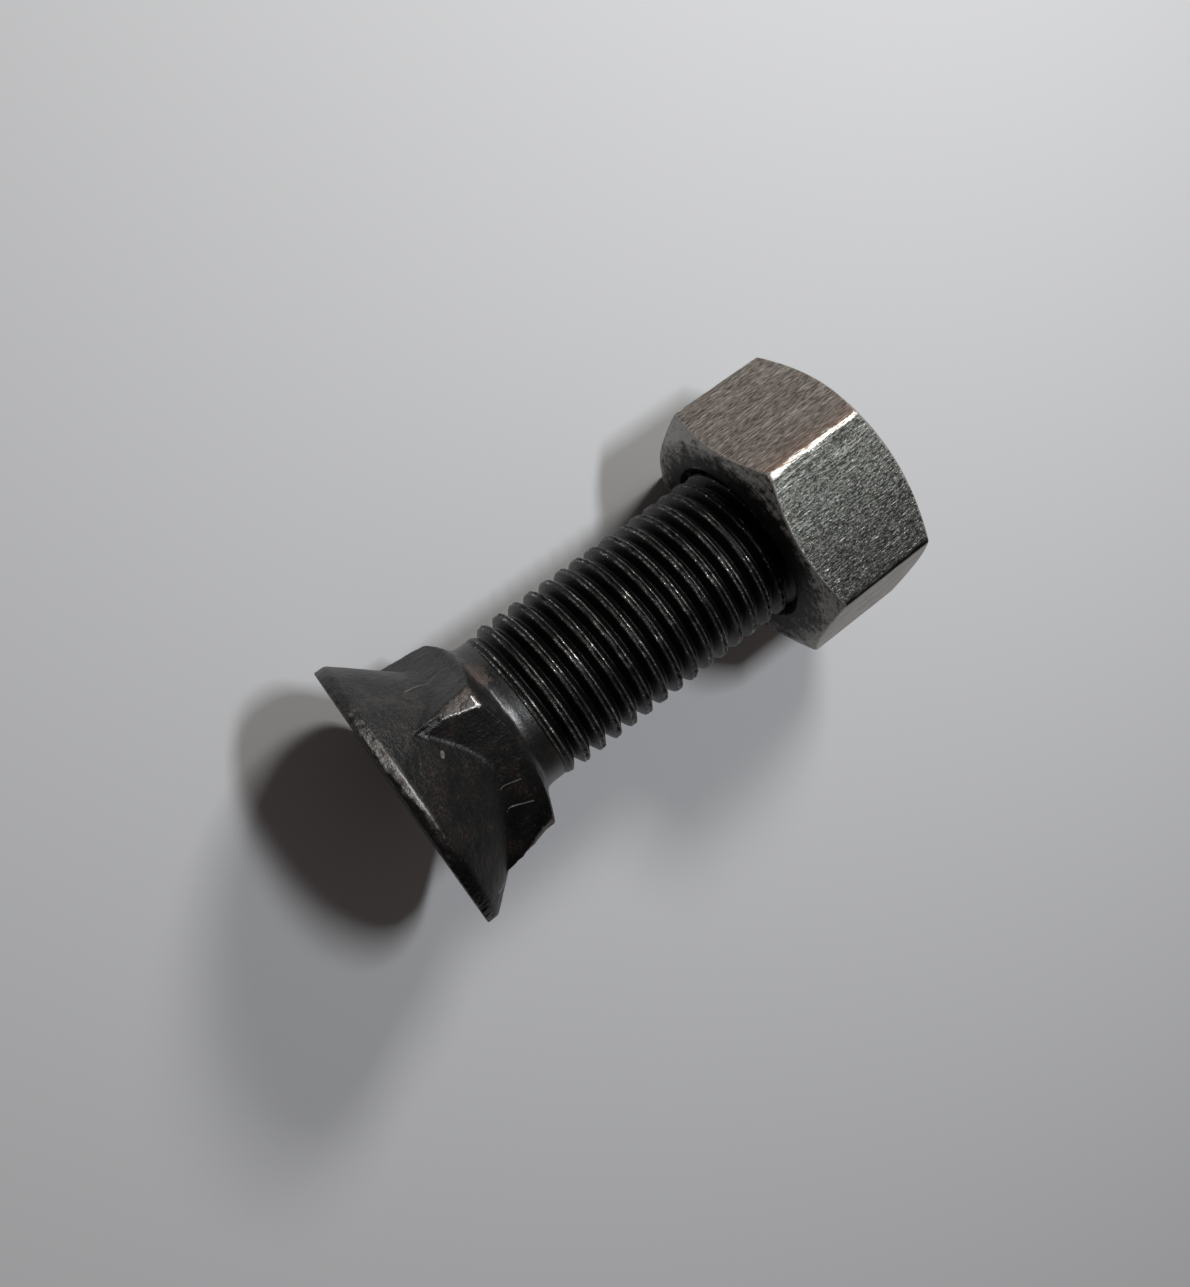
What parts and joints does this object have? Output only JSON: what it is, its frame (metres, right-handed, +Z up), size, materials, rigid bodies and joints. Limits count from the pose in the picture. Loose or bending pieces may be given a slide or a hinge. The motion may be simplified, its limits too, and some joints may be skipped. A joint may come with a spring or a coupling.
{
  "type": "plow bolt with hex nut",
  "caption": "Countersunk round-head bolt with a square neck, a plain shank and a coarse thread, with its chamfered hex nut run on near the point.",
  "frame": {"origin": "centre of the bolt's flat head face, on the bolt's axis", "axes": "+X along the bolt from the head to the point, +Z up with one nut flat level on top; the pair lies on its side on the head rim and the nut's lower flat"},
  "size_m": [0.075, 0.0388, 0.037],
  "materials": {
    "blackened_steel": "forged, black oxide, lightly oiled thread",
    "bare_steel": "bare cold-forged steel, worn corners"
  },
  "bodies": {
    "bolt": {"plow_bolt": "blackened_steel"},
    "nut": {"hex_nut": "bare_steel"}
  },
  "joints": [
    {"name": "nut_travel", "type": "slide", "parent": "bolt", "child": "nut", "axis": [1, 0, 0], "range_m": [-0.0325, 0.0275]}
  ]
}
